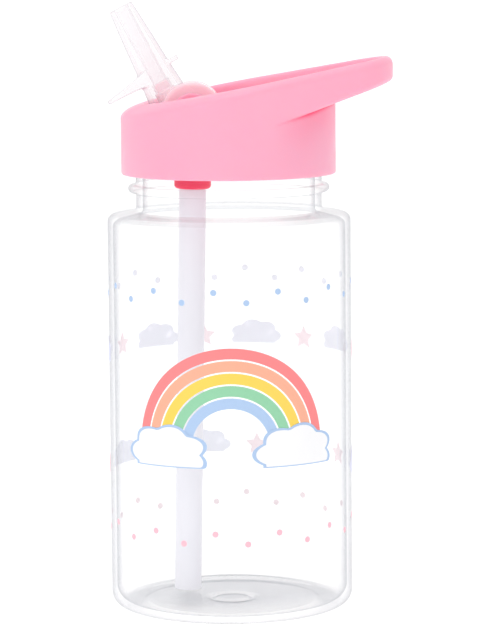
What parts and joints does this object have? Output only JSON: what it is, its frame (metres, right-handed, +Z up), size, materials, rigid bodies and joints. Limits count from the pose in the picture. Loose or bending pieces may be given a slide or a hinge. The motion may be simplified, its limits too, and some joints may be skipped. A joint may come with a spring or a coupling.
{
  "type": "kids water bottle",
  "caption": "Clear cylindrical kids' bottle with a pink screw lid, a moulded carry loop, a clear flip-up spout on a pivot drum and a long straw inside.",
  "frame": {"origin": "centre of the base, on the surface that the bottle stands on", "axes": "+Z up along the bottle's axis, +X towards the carry loop, the spout leans towards -X"},
  "size_m": [0.0846, 0.072, 0.1792],
  "materials": {
    "clear_plastic": "clear, glossy copolyester",
    "clear_spout": "clear, slightly milky",
    "pink_plastic": "satin moulded polypropylene",
    "silicone": "soft translucent silicone",
    "deep_pink_silicone": "soft satin silicone",
    "straw_plastic": "translucent polyethylene"
  },
  "bodies": {
    "bottle": {"bottle_body": "clear_plastic"},
    "sealing_ring": {"neck_gasket": "silicone"},
    "lid": {"lid_shell": "pink_plastic", "lid_insert": "pink_plastic", "hub_seal": "silicone", "air_valve": "silicone", "straw_adapter": "deep_pink_silicone", "straw": "straw_plastic"},
    "spout": {"spout_hub": "pink_plastic", "mouthpiece": "clear_spout"}
  },
  "joints": [
    {"name": "lid_rise", "type": "slide", "parent": "bottle", "child": "sealing_ring", "axis": [0, 0, 1], "range_m": [0, 0.00501]},
    {"name": "lid_turn", "type": "hinge", "parent": "sealing_ring", "child": "lid", "pos_m": [0, 0, 0], "axis": [0, 0, 1], "range_deg": [0, 450]},
    {"name": "spout_flip", "type": "hinge", "parent": "lid", "child": "spout", "pos_m": [-0.0106, 0, 0.1468], "axis": [0, 1, 0], "range_deg": [0, 108]}
  ],
  "couplings": [
    {"joint": "lid_rise", "follows": "lid_turn", "m_per_rad": 0.00063662}
  ]
}
